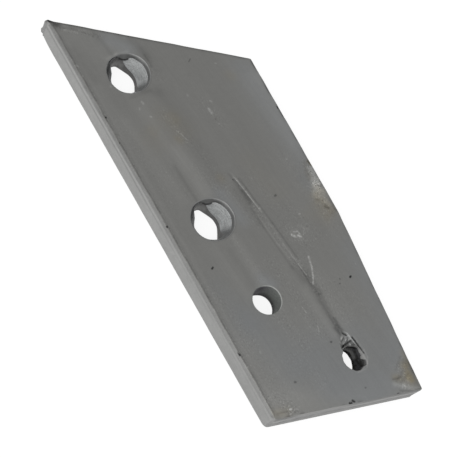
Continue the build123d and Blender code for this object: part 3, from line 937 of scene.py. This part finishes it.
def newGroup(name, inputs, *outputs):
    # a node group with inputs (name: start value) and number outputs
    group = bpy.data.node_groups.new(name, "ShaderNodeTree")
    for key, value in inputs.items():
        kind = "NodeSocketVector" if isinstance(value, tuple) else "NodeSocketFloat"
        group.interface.new_socket(key, in_out="INPUT", socket_type=kind).default_value = value
    for key in outputs:
        group.interface.new_socket(key, in_out="OUTPUT", socket_type="NodeSocketFloat")
    return group, group.nodes.new("NodeGroupInput").outputs, group.nodes.new("NodeGroupOutput").inputs


def useGroup(tree, group, **inputs):
    return addNode(tree, "Group", inputs, node_tree=group).outputs


def strokeGroup():
    # mask of a straight stroke: the distance from the segment Start to End, a little ragged, in millimetres,
    # against a half width with soft flanks
    inputs = dict(Start=(0, 0, 0), End=(1, 0, 0), HalfWidth=0.3, Soft=0.15)
    group, entry, leave = newGroup("strokeMask", inputs, "Mask")
    ragged = addNode(group, "TexNoise", {"Vector": millimetres(group), "Scale": 1.7, "Detail": 3.0})
    shift = vectorMath(group, "SUBTRACT", ragged.outputs["Color"], (0.5, 0.5, 0.5))[0]
    place = vectorMath(group, "ADD", millimetres(group), scaled(group, shift, 0.7))[0]
    away = vectorMath(group, "SUBTRACT", place, entry["Start"])[0]
    way = vectorMath(group, "SUBTRACT", entry["End"], entry["Start"])[0]
    share = calculate(group, "DIVIDE", vectorMath(group, "DOT_PRODUCT", away, way)["Value"],
                      vectorMath(group, "DOT_PRODUCT", way, way)["Value"], clamp=True)
    distance = vectorMath(group, "DISTANCE", away, scaled(group, way, share))["Value"]
    inner = calculate(group, "SUBTRACT", entry["HalfWidth"], entry["Soft"])
    outer = calculate(group, "ADD", entry["HalfWidth"], entry["Soft"])
    feed(group, leave["Mask"], remap(group, distance, inner, outer, 1.0, 0.0, smooth=True))
    return group


def grainGroup():
    # Grain: mottling at three sizes, about 0 and up to 1 either way; Streaks: noise drawn out down the plate
    group, _, leave = newGroup("steelGrain", {}, "Grain", "Streaks")
    fine = noise(group, millimetres(group), 1.6, 3.0)
    middle = noise(group, millimetres(group), 0.42, 3.0)
    wide = noise(group, millimetres(group), 0.1, 2.0)
    grain = timesPlus(group, fine, 0.45, timesPlus(group, middle, 0.35, times(group, wide, 0.2)))
    feed(group, leave["Grain"], remap(group, grain, 0.3, 0.7, -1.0, 1.0))
    turn = math.radians(-6)
    long = noise(group, millimetres(group, (0.9, 0.05, 0.9), turn), 1.0, 4.0, 0.6)
    broad = noise(group, millimetres(group, (0.25, 0.018, 0.25), turn), 1.0, 2.0)
    streaks = timesPlus(group, long, 0.55, times(group, broad, 0.45))
    feed(group, leave["Streaks"], remap(group, streaks, 0.32, 0.68, -1.0, 1.0))
    return group


def speckGroup():
    # specks: cells of a Voronoi pattern, of which only the share Chosen shows a small spot
    group, entry, leave = newGroup("specks", dict(Scale=0.4, Chosen=0.3, Size=0.2), "Mask")
    inputs = {"Vector": millimetres(group, (1, 0.7, 1)), "Scale": entry["Scale"]}
    cells = addNode(group, "TexVoronoi", inputs).outputs
    split = addNode(group, "SeparateColor", {"Color": cells["Color"]}).outputs
    chosen = calculate(group, "LESS_THAN", split[0], entry["Chosen"])
    size = times(group, entry["Size"], calculate(group, "ADD", split[1], 0.3))
    spot = remap(group, cells["Distance"], 0.0, size, 1.0, 0.0, smooth=True)
    feed(group, leave["Mask"], times(group, spot, chosen))
    return group


def turningGroup():
    # fine lines at even depth, as a tool leaves in a seat: noise drawn out round the hole
    group, _, leave = newGroup("turningLines", {}, "Lines")
    lines = noise(group, millimetres(group, (0.22, 0.22, 4.2)), 1.0, 3.0, 0.6)
    ticks = noise(group, millimetres(group, (1.6, 1.6, 0.7)), 1.0, 2.0)
    both = timesPlus(group, lines, 0.65, times(group, ticks, 0.35))
    feed(group, leave["Lines"], remap(group, both, 0.34, 0.66, -1.0, 1.0))
    return group


strokeMask, steelGrain, specks, turningLines = strokeGroup(), grainGroup(), speckGroup(), turningGroup()

tints = dict(
    brown=(1.12, 1.0, 0.76), blue=(0.97, 1.0, 1.05), worn=(0.42, 0.42, 0.41), grimeAndShade=(0.007, 0.007, 0.007),
    scratch=(0.4, 0.4, 0.39), speck=(0.05, 0.05, 0.05), pit=(0.012, 0.012, 0.012),
    topBand=(0.098, 0.09, 0.108), tornBlotch=(0.075, 0.076, 0.08), tornBare=(0.16, 0.16, 0.158),
)

# Marks on the front face, as strokes
pits = [
    (52, 1.6, 52, 1.6, 0.42, 1.0), (107.4, 1.1, 107.4, 1.1, 0.5, 1.0), (132, 9.8, 131.7, 10.4, 0.42, 0.9),
    (168.8, 0.5, 170.0, 0.9, 0.5, 0.95), (161.3, 66.2, 161, 66.8, 0.45, 1.0),
    (160, 61.2, 160, 61.2, 0.4, 0.5), (161.8, 60.1, 161.8, 60.1, 0.4, 0.5),
    (99.7, 40.1, 99.9, 40.2, 0.32, 0.55), (114.2, 54.4, 114, 54.8, 0.5, 0.5),
    (182.6, 41.6, 182.6, 41.7, 0.45, 0.6), (190.5, 17, 190.6, 17.3, 0.5, 0.5),
    (209.2, 34.6, 209.4, 35.0, 0.6, 0.95), (208.7, 36.3, 209.3, 36.7, 0.55, 0.9),
    (206.5, 44.8, 206.5, 45, 0.4, 0.4), (65, 1.2, 65, 1.2, 0.3, 0.7), (40.4, 52.6, 41.4, 51.2, 0.3, 0.4),
    (71, 48, 71.4, 48.1, 0.25, 0.4), (181.6, 49.1, 182.8, 50, 0.4, 0.9), (76.5, 79, 77.5, 79, 0.3, 0.8),
    # the long stroke from along 185 to 193 paints the split beside the torn hole near black: painted shade
    (185.0, 51.75, 193.1, 52.85, 0.42, 0.9), (215.9, 55.4, 215.2, 57.4, 0.3, 0.55),
]
scratches = [
    (145, 53.4, 150, 52.1, 0.44, 0.6), (150, 52.1, 154, 50.2, 0.4, 0.65),
    (154, 50.2, 156.8, 48.6, 0.34, 0.7), (51.2, 20.4, 52.4, 20.6, 0.45, 0.4),
    (53.4, 18, 54.2, 17.6, 0.4, 0.25), (59, 20.4, 59.2, 20.9, 0.4, 0.4),
    (69.6, 28.2, 70.2, 28.6, 0.3, 0.45), (71, 29, 75.5, 30.6, 0.22, 0.3), (65.5, 47.6, 68, 48.2, 0.6, 0.4),
    (62.4, 50.4, 62.8, 50.8, 0.5, 0.3), (73.4, 48.4, 74, 48.6, 0.35, 0.25),
    (116.4, 44.4, 116.8, 44.6, 0.4, 0.4), (98.6, 41.0, 105, 42.4, 0.22, 0.32),
    (105, 42.4, 113, 43.5, 0.22, 0.38), (132.4, 53.4, 132.8, 55.0, 0.35, 0.5),
    (133.2, 51.8, 134.4, 52.6, 0.5, 1.0), (134.6, 54.4, 135.6, 55.2, 0.5, 0.9),
    (133.2, 55.0, 134.4, 55.4, 0.35, 0.5), (134.4, 53.0, 135.0, 54.0, 0.35, 0.45),
    (133, 58.6, 135.4, 56.6, 0.2, 0.4), (126.2, 60.2, 126.2, 60.8, 0.4, 0.3),
    (164, 38, 166.6, 38.4, 0.25, 0.4), (174, 39.8, 176.4, 39, 0.25, 0.4),
    (199.4, 8.6, 199.6, 9.3, 0.36, 1.3), (201.4, 7.6, 200.6, 10.6, 0.3, 0.4),
    (200.2, 11.0, 201.2, 12.2, 0.3, 0.35), (24.6, 1.4, 25.2, 1.9, 0.5, 0.4),
    (46.4, 62.6, 46.6, 63, 0.35, 0.3), (106.8, 42.8, 108.0, 43.0, 0.3, 0.3), (101, 69, 101, 69.4, 0.3, 0.4),
    (141, 46.2, 152, 48, 0.16, 0.3),
]


def frontStrokes(tree, strokes):
    # the largest of the masks of strokes on the front face, each times its strength
    total = None
    for a, b, c, d, halfWidth, strength in strokes:
        start, end = planPoint(a, b), planPoint(c, d) + (0.01, 0)
        mask = useGroup(tree, strokeMask, Start=(*start, thickness), End=(*end, thickness),
                        HalfWidth=halfWidth, Soft=0.6 * halfWidth)["Mask"]
        mask = times(tree, mask, strength)
        total = mask if total is None else calculate(tree, "MAXIMUM", total, mask)
    return total


def steelMaterial(name, base, grain, streaks=0.0, metallic=0.7, roughness=0.45, specular=0.5, bump=0.012):
    # grain and streaks shade the base colour, then come the surface's own marks, if it has any; worn edges
    # turn brighter and painted highlights are laid on, and dirty places turn darker and painted shade is laid
    # on
    material = bpy.data.materials.new(name)
    material.use_nodes = True
    tree = material.node_tree
    shader = tree.nodes["Principled BSDF"].inputs
    shader["Metallic"].default_value = metallic
    shader["Specular IOR Level"].default_value = specular
    look = useGroup(tree, steelGrain)
    level = timesPlus(tree, look["Streaks"], streaks, times(tree, look["Grain"], grain))
    colour = scaled(tree, base, calculate(tree, "ADD", level, 1.0))
    feed(tree, shader["Roughness"], timesPlus(tree, look["Streaks"], -0.04, roughness))
    uneven = addNode(tree, "Bump", {"Height": look["Grain"], "Distance": bump * millimetre, "Strength": 1.0})
    feed(tree, shader["Normal"], uneven.outputs[0])
    if name in marks:
        colour = marks[name](tree, colour)
    colour = mixColour(tree, times(tree, attribute(tree, "wearAndHighlight"), 0.55, clamp=True), colour, tints["worn"])
    colour = mixColour(tree, times(tree, attribute(tree, "grimeAndShade"), 0.97, clamp=True), colour, tints["grimeAndShade"])
    feed(tree, shader["Base Color"], colour)
    return material


def wornFaceMarks(tree, colour):
    # tone, scuffs and the brown and blue tints follow point values, then come specks, scratches and pits
    colour = shaded(tree, colour, attribute(tree, "tone"), toneStep)
    lightScuff = noise(tree, millimetres(tree, (1.5, 0.9, 1)), 1.0, 3.0, 0.6)
    lightScuff = remap(tree, lightScuff, 0.53, 0.7, 0.0, 0.42)
    darkScuff = noise(tree, millimetres(tree, (1.1, 1.0, 1), 0.6), 1.0, 3.0, 0.6)
    darkScuff = remap(tree, darkScuff, 0.54, 0.72, 0.0, 0.36)
    scuff = calculate(tree, "SUBTRACT", lightScuff, darkScuff)
    colour = shaded(tree, colour, scuff, attribute(tree, "scuff"))
    ragged = remap(tree, noise(tree, millimetres(tree), 0.45, 4.0, 0.6), 0.36, 0.6, 0.7, 1.1)
    brown = times(tree, attribute(tree, "warm"), ragged, clamp=True)
    colour = mixColour(tree, brown, colour, tints["brown"], "MULTIPLY")
    colour = mixColour(tree, attribute(tree, "cool"), colour, tints["blue"], "MULTIPLY")
    light = useGroup(tree, specks, Scale=0.16, Chosen=0.28, Size=0.13)["Mask"]
    dark = useGroup(tree, specks, Scale=0.11, Chosen=0.2, Size=0.08)["Mask"]
    colour = mixColour(tree, times(tree, light, 0.22), colour, tints["scratch"])
    colour = mixColour(tree, times(tree, dark, 0.45), colour, tints["speck"])
    patchy = remap(tree, noise(tree, millimetres(tree), 1.1, 2.0), 0.35, 0.6, 0.35, 1.1)
    colour = mixColour(tree, times(tree, frontStrokes(tree, scratches), patchy), colour, tints["scratch"])
    return mixColour(tree, frontStrokes(tree, pits), colour, tints["pit"])


def rolledEdgeMarks(tree, colour):
    # half as bright where the round starts
    return mixColour(tree, attribute(tree, "bare"), scaled(tree, colour, 0.5), colour)


def machinedSeatMarks(tree, colour):
    return shaded(tree, colour, useGroup(tree, turningLines)["Lines"], 0.4)


def drilledWallMarks(tree, colour):
    colour = shaded(tree, colour, useGroup(tree, turningLines)["Lines"], 0.2)
    return mixColour(tree, attribute(tree, "bare"), colour, tints["topBand"])


def tornMetalMarks(tree, colour):
    blotch = remap(tree, noise(tree, millimetres(tree), 0.4, 3.0), 0.44, 0.56, 0.0, 0.8)
    colour = mixColour(tree, blotch, colour, tints["tornBlotch"])
    return mixColour(tree, attribute(tree, "bare"), colour, tints["tornBare"])


marks = dict(wornFace=wornFaceMarks, rolledEdge=rolledEdgeMarks, machinedSeat=machinedSeatMarks,
             drilledWall=drilledWallMarks, tornMetal=tornMetalMarks)
materials = [steelMaterial(name, **settings) for name, settings in surfaces.items()]
print("materials made:", len(materials))

points = np.concatenate(build["points"])
quads, tris = np.concatenate(build["quads"]), np.concatenate(build["tris"])
used = np.unique(np.concatenate([quads.ravel(), tris.ravel()]))
renumber = np.zeros(len(points), int)
renumber[used] = np.arange(len(used))
points = points[used]
faces = renumber[quads].tolist() + renumber[tris].tolist()
slots = np.concatenate([*build["quadSlots"], np.full(len(tris), slotOf["wornFace"])])
values = {key: np.concatenate(parts)[used] for key, parts in build["values"].items()}
along, across = planOf(points)
onFront = rise(points[:, 2], 6, 10)
values["tone"] = onFront * faceTone(along, across)
values["warm"] = onFront * sumOfStrokes(warmStrokes, along, across)
values["cool"] = onFront * np.clip(sumOfStrokes(coolStrokes, along, across), 0, 1)
values["scuff"] = onFront * sumOfStrokes(scuffStrokes, along, across)
# painted highlights on the torn metal's ridges and painted shade in its hollows and splits
tornHighlightAndShade = rise(points[:, 2], 8.5, 9.5) * sumOfStrokes(tornStrokes, along, across, column=6)
values["wearAndHighlight"] = values["wearAndHighlight"] + np.clip(tornHighlightAndShade, 0, 1)
values["grimeAndShade"] = values["grimeAndShade"] + np.clip(-tornHighlightAndShade, 0, 1)
sharePlate = meshObject("sharePlate", points, faces, slots, materials, values)
print("plate built:", len(quads) * 2 + len(tris), "triangles")
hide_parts("share_plate")
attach(sharePlate, "root")


# Stage, light and camera
studio = dict(
    floorSize=6.0, floorDrop=0.0001, floorColour=0.8, floorGlow=0.86, floorCatch=0.16,
    skyLevel=0.78,
    lampPlace=(-0.66, -0.25, 0.72), lampAim=(0.02, -0.07, 0), lampUp=(0, 0, 1), lampSize=1.2, lampPower=8.0,
)
view = dict(
    place=(-0.263122, -0.195798, 0.518179), aim=(0.004187, -0.082701, 0.012),
    up=(0.364672, 0.849043, 0.382284), lens=106.625, sensor=36,
)


def backdropRays(tree):
    # 1 for rays from the camera and for those that metal or glass sends on
    rays = addNode(tree, "LightPath").outputs
    seen = calculate(tree, "ADD", rays["Is Camera Ray"], rays["Is Glossy Ray"])
    return calculate(tree, "ADD", seen, rays["Is Transmission Ray"], clamp=True)


def floorMaterial():
    # pale for light that bounces; for the camera mostly a white glow, and a share of lit white that keeps
    # the shadow
    material = bpy.data.materials.new("studioFloor")
    material.use_nodes = True
    tree = material.node_tree
    tree.nodes.clear()
    pale = addNode(tree, "BsdfDiffuse", {"Color": [studio["floorColour"]] * 3})
    catch = addNode(tree, "BsdfDiffuse", {"Color": [studio["floorCatch"]] * 3})
    glow = addNode(tree, "Emission", {"Strength": studio["floorGlow"]})
    both = addNode(tree, "AddShader", {0: catch.outputs[0], 1: glow.outputs[0]})
    mixed = addNode(tree, "MixShader", {0: backdropRays(tree), 1: pale.outputs[0], 2: both.outputs[0]})
    addNode(tree, "OutputMaterial", {"Surface": mixed.outputs[0]})
    return material


half = studio["floorSize"] / 2
floorCorners = [(x * half, y * half, -studio["floorDrop"]) for x, y in ((-1, -1), (1, -1), (1, 1), (-1, 1))]
floorMesh = bpy.data.meshes.new("studioFloor")
floorMesh.from_pydata(floorCorners, [], [(0, 1, 2, 3)])
floorMesh.materials.append(floorMaterial())
floor = bpy.data.objects.new("studioFloor", floorMesh)
bpy.context.scene.collection.objects.link(floor)

world = bpy.data.worlds.new("studioSky")
world.use_nodes = True
sky = world.node_tree
seen = addNode(sky, "LightPath").outputs["Is Camera Ray"]
feed(sky, sky.nodes["Background"].inputs["Color"], mixColour(sky, seen, [studio["skyLevel"]] * 3, (1, 1, 1)))
bpy.context.scene.world = world


def placed(name, data, place, aim, up):
    # the object looks from place towards aim, with its y axis towards up
    back = (Vector(place) - Vector(aim)).normalized()
    right = Vector(up).cross(back).normalized()
    turned = Matrix((right, back.cross(right), back)).transposed().to_4x4()
    item = bpy.data.objects.new(name, data)
    item.matrix_world = Matrix.Translation(place) @ turned
    bpy.context.scene.collection.objects.link(item)
    return item


lampData = bpy.data.lights.new("softLamp", "AREA")
lampData.size = studio["lampSize"]
lampData.energy = studio["lampPower"]
placed("softLamp", lampData, studio["lampPlace"], studio["lampAim"], studio["lampUp"])

cameraData = bpy.data.cameras.new("photoCamera")
cameraData.lens = view["lens"]
cameraData.sensor_width = view["sensor"]
bpy.context.scene.camera = placed("photoCamera", cameraData, view["place"], view["aim"], view["up"])
bpy.context.scene.view_settings.view_transform = "Standard"
print("stage, lamp and camera set")
